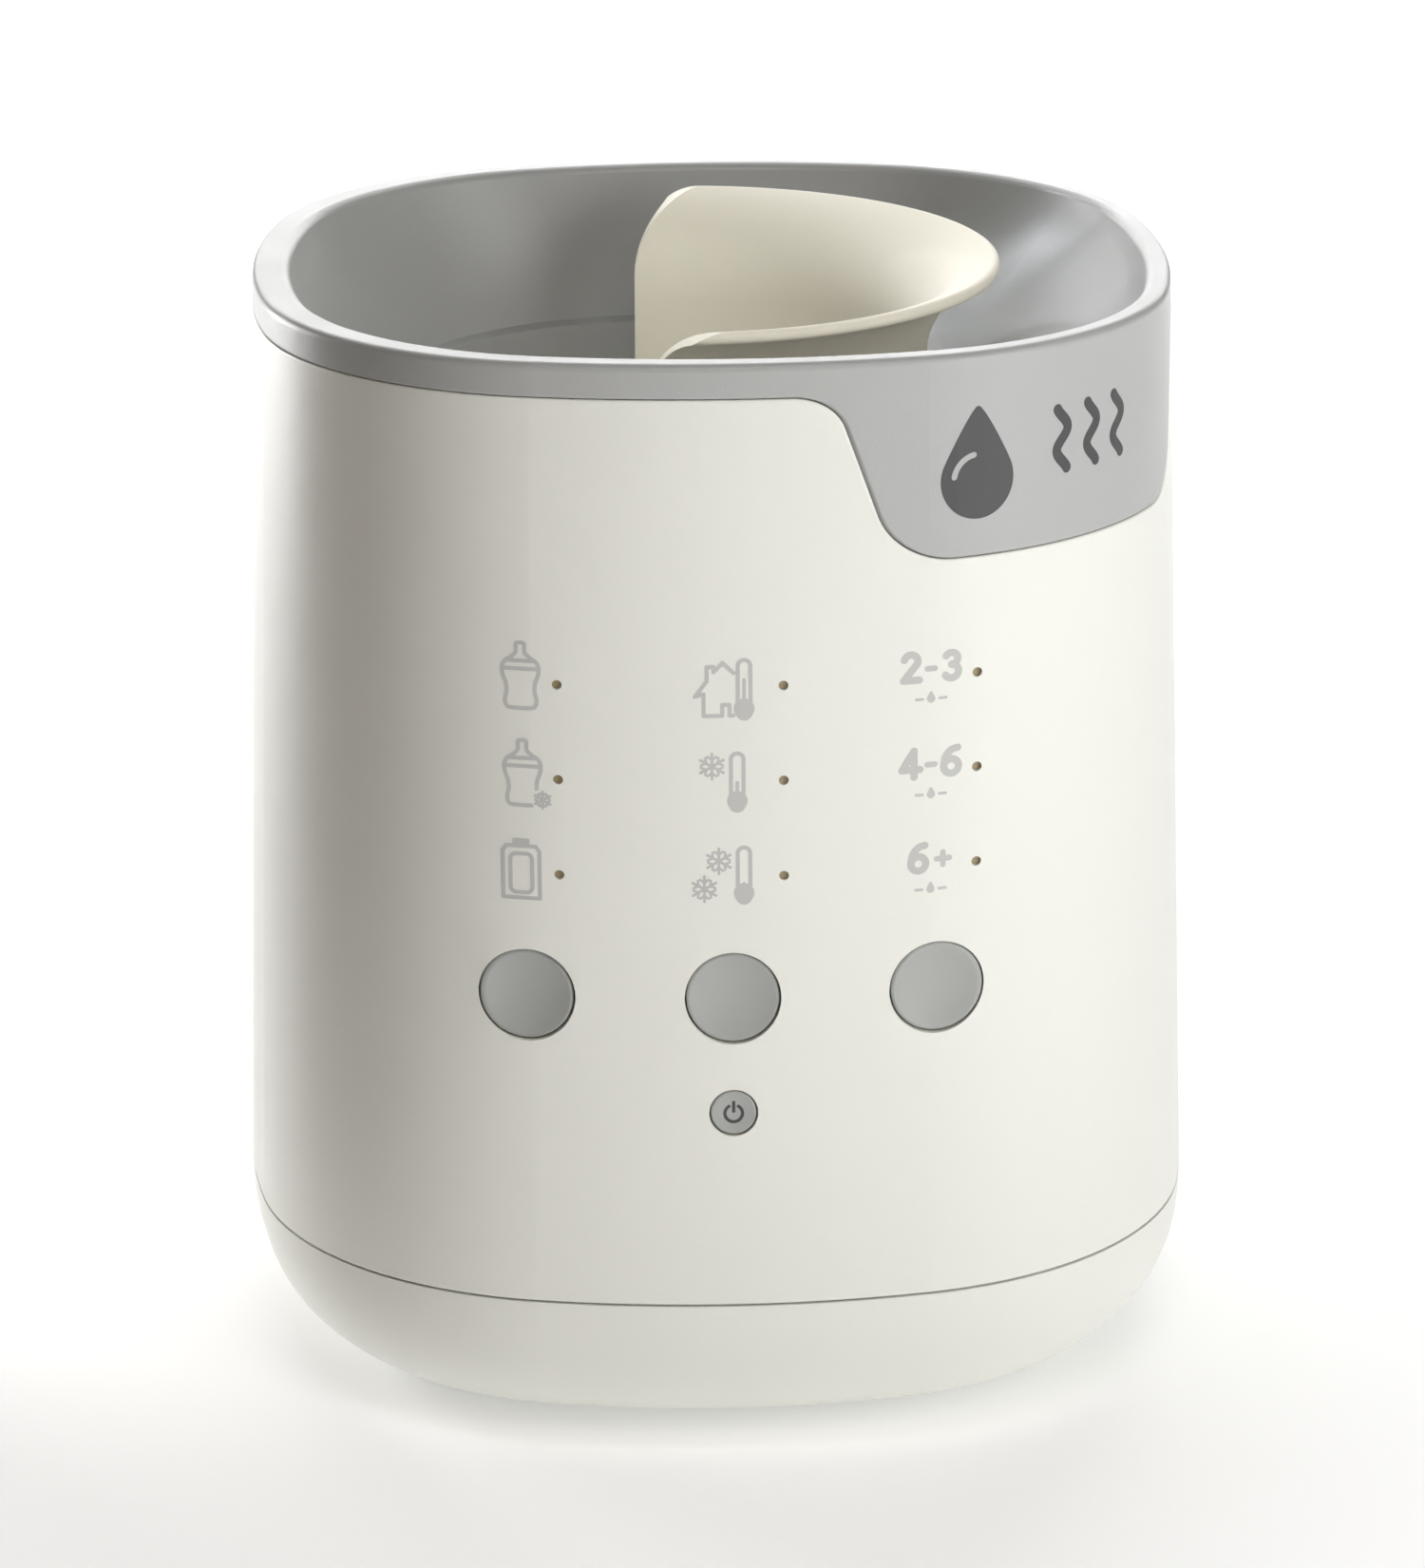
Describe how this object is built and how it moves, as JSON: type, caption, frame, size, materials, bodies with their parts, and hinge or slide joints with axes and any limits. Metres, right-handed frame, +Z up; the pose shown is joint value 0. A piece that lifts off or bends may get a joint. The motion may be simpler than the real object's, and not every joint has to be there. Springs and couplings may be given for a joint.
{
  "type": "bottle warmer",
  "caption": "Counter-top bottle and pouch warmer: white tapered body, grey water tank with a corner tab, lift-out basket, round push buttons and indicator lights.",
  "frame": {"origin": "on the floor under the centre of the body's outline", "axes": "+Z up; the button side faces -Y; +X to the right of someone facing the buttons"},
  "size_m": [0.1524, 0.1486, 0.1753],
  "materials": {
    "white_shell": "satin off-white moulding",
    "grey_moulding": "satin mid-grey moulding",
    "cream_moulding": "satin ivory moulding",
    "button_grey": "satin mid-grey",
    "black_plastic": "matte black",
    "winding": "taped winding",
    "circuit_board": "solder mask green",
    "led_lens": "amber lens",
    "clear_guide": "warm translucent",
    "screw_steel": "zinc plated",
    "strip_steel": "spring steel",
    "seal_rubber": "red silicone",
    "dark_rubber": "matte dark grey",
    "plate_aluminium": "turned plate",
    "element_sheath": "dull sheath",
    "sensor_body": "epoxy and ceramic",
    "capacitor_case": "yellow film case",
    "terminal_green": "green terminal",
    "lead_sleeve": "pale insulation"
  },
  "bodies": {
    "housing": {"outer_casing": "white_shell", "water_tank": "grey_moulding", "base_shell": "white_shell", "tact_switches": "black_plastic", "control_board": "circuit_board", "control_chips": "black_plastic", "status_leds": "led_lens", "light_guide": "clear_guide", "control_board_screws": "screw_steel", "tank_seal": "seal_rubber", "heater_plate": "plate_aluminium", "clamp_ring": "strip_steel", "clamp_screws": "screw_steel", "heating_element": "element_sheath", "temperature_sensor": "sensor_body", "sensor_clip": "strip_steel", "thermal_fuse": "sensor_body", "fuse_strap": "strip_steel", "power_board": "circuit_board", "relay": "black_plastic", "transformer": "winding", "capacitors": "capacitor_case", "terminal_block": "terminal_green", "power_board_screws": "screw_steel", "ribbon_lead": "lead_sleeve", "heater_leads": "lead_sleeve", "body_screws": "screw_steel", "inlet_grommet": "dark_rubber", "front_left_foot": "dark_rubber", "front_right_foot": "dark_rubber", "rear_left_foot": "dark_rubber", "rear_right_foot": "dark_rubber"},
    "basket": {"basket": "cream_moulding"},
    "left_mode_button": {"left_mode_button": "button_grey", "left_switch_plunger": "black_plastic"},
    "centre_mode_button": {"centre_mode_button": "button_grey", "centre_switch_plunger": "black_plastic"},
    "right_mode_button": {"right_mode_button": "button_grey", "right_switch_plunger": "black_plastic"},
    "power_button": {"power_button": "button_grey", "power_switch_plunger": "black_plastic"}
  },
  "joints": [
    {"name": "left_mode_button_press", "type": "slide", "parent": "housing", "child": "left_mode_button", "axis": [0, 1, 0], "range_m": [0, 0.0008], "stiffness_N_per_m": 1500, "springref_m": -0.0006},
    {"name": "centre_mode_button_press", "type": "slide", "parent": "housing", "child": "centre_mode_button", "axis": [0, 1, 0], "range_m": [0, 0.0008], "stiffness_N_per_m": 1500, "springref_m": -0.0006},
    {"name": "right_mode_button_press", "type": "slide", "parent": "housing", "child": "right_mode_button", "axis": [0, 1, 0], "range_m": [0, 0.0008], "stiffness_N_per_m": 1500, "springref_m": -0.0006},
    {"name": "power_button_press", "type": "slide", "parent": "housing", "child": "power_button", "axis": [0, 1, 0], "range_m": [0, 0.0008], "stiffness_N_per_m": 1500, "springref_m": -0.0006},
    {"name": "basket_lift", "type": "slide", "parent": "housing", "child": "basket", "axis": [0, 0, 1], "range_m": [0, 0.135]}
  ]
}
